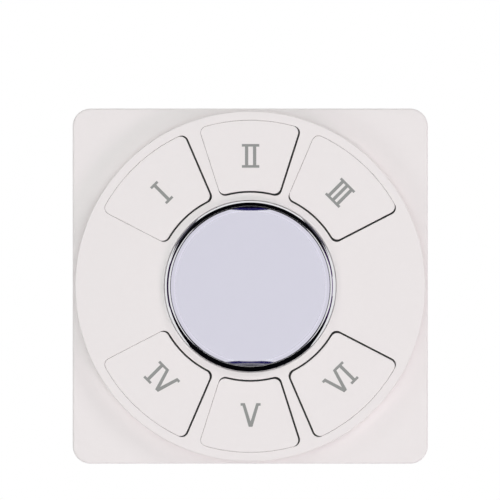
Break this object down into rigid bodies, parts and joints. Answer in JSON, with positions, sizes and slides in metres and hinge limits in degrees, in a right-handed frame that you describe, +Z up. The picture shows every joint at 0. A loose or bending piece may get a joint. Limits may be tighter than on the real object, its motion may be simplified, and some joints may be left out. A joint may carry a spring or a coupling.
{
  "type": "wireless wall switch",
  "caption": "Square wall switch with a raised round face, sector keys in a ring, and a polished centre knob that turns and pushes.",
  "frame": {"origin": "centre of the wall bracket's back face, on the wall", "axes": "+Z up the wall, +X to the right as seen from the front, -Y out of the face towards the user"},
  "size_m": [0.086, 0.0169, 0.086],
  "materials": {
    "housing_plastic": "fine satin moulded plastic, warm off-white",
    "key_plastic": "fine satin moulded plastic, warm off-white",
    "bracket_plastic": "moulded plastic, light grey",
    "rear_plastic": "moulded plastic, off-white",
    "knob_chrome": "bright chrome plate",
    "knob_mirror": "mirror-polished plate",
    "hub_plastic": "black moulded plastic",
    "screw_steel": "zinc-plated steel",
    "spring_steel": "stamped spring steel",
    "encoder_metal": "die-cast metal",
    "encoder_plastic": "black moulded plastic",
    "switch_black": "black moulded plastic",
    "board_green": "green solder mask over glass fibre board",
    "copper_trace": "bare copper",
    "chip_black": "black moulded chip package",
    "can_steel": "tinned steel sheet",
    "cell_steel": "nickel-plated steel",
    "ceramic": "fired ceramic"
  },
  "bodies": {
    "root": {"wall_bracket": "bracket_plastic", "rear_housing": "rear_plastic", "front_cover": "housing_plastic", "case_screws": "screw_steel", "circuit_board": "board_green", "board_screws": "screw_steel", "coin_cell": "cell_steel", "negative_contact": "spring_steel", "positive_contact": "spring_steel", "radio_board": "board_green", "shield_can": "can_steel", "antenna": "copper_trace", "control_chip": "chip_black", "crystal": "can_steel", "small_components": "ceramic", "encoder_base": "encoder_plastic", "encoder_housing": "encoder_metal", "detent_spring": "spring_steel", "push_dome": "spring_steel", "tact_base_1": "switch_black", "tact_dome_1": "spring_steel", "tact_base_2": "switch_black", "tact_dome_2": "spring_steel", "tact_base_3": "switch_black", "tact_dome_3": "spring_steel", "tact_base_4": "switch_black", "tact_dome_4": "spring_steel", "tact_base_5": "switch_black", "tact_dome_5": "spring_steel", "tact_base_6": "switch_black", "tact_dome_6": "spring_steel"},
    "key_1": {"key_cap_1": "key_plastic", "tact_plunger_1": "switch_black"},
    "key_2": {"key_cap_2": "key_plastic", "tact_plunger_2": "switch_black"},
    "key_3": {"key_cap_3": "key_plastic", "tact_plunger_3": "switch_black"},
    "key_4": {"key_cap_4": "key_plastic", "tact_plunger_4": "switch_black"},
    "key_5": {"key_cap_5": "key_plastic", "tact_plunger_5": "switch_black"},
    "key_6": {"key_cap_6": "key_plastic", "tact_plunger_6": "switch_black"},
    "push": {"push_plunger": "switch_black"},
    "knob": {"knob_ring": "knob_chrome", "knob_face": "knob_mirror", "knob_hub": "hub_plastic", "encoder_shaft": "encoder_metal", "shaft_clip": "spring_steel"},
    "rotor": {"encoder_rotor": "encoder_plastic"},
    "door": {"battery_door": "rear_plastic"}
  },
  "joints": [
    {"name": "key_1_press", "type": "slide", "parent": "root", "child": "key_1", "axis": [0, 1, 0], "range_m": [0, 0.0005], "stiffness_N_per_m": 600, "springref_m": -0.002},
    {"name": "key_2_press", "type": "slide", "parent": "root", "child": "key_2", "axis": [0, 1, 0], "range_m": [0, 0.0005], "stiffness_N_per_m": 600, "springref_m": -0.002},
    {"name": "key_3_press", "type": "slide", "parent": "root", "child": "key_3", "axis": [0, 1, 0], "range_m": [0, 0.0005], "stiffness_N_per_m": 600, "springref_m": -0.002},
    {"name": "key_4_press", "type": "slide", "parent": "root", "child": "key_4", "axis": [0, 1, 0], "range_m": [0, 0.0005], "stiffness_N_per_m": 600, "springref_m": -0.002},
    {"name": "key_5_press", "type": "slide", "parent": "root", "child": "key_5", "axis": [0, 1, 0], "range_m": [0, 0.0005], "stiffness_N_per_m": 600, "springref_m": -0.002},
    {"name": "key_6_press", "type": "slide", "parent": "root", "child": "key_6", "axis": [0, 1, 0], "range_m": [0, 0.0005], "stiffness_N_per_m": 600, "springref_m": -0.002},
    {"name": "knob_push", "type": "slide", "parent": "root", "child": "push", "axis": [0, 1, 0], "range_m": [0, 0.0004], "stiffness_N_per_m": 900, "springref_m": -0.003},
    {"name": "knob_turn", "type": "hinge", "parent": "push", "child": "knob", "pos_m": [0, 0, 0], "axis": [0, -1, 0], "continuous": true},
    {"name": "rotor_turn", "type": "hinge", "parent": "root", "child": "rotor", "pos_m": [0, 0, 0], "axis": [0, -1, 0], "continuous": true},
    {"name": "battery_door_turn", "type": "hinge", "parent": "root", "child": "door", "pos_m": [0.02275, -0.0024, 0], "axis": [0, 1, 0], "range_deg": [0, 45]}
  ],
  "couplings": [
    {"joint": "rotor_turn", "follows": "knob_turn", "ratio": 1}
  ]
}
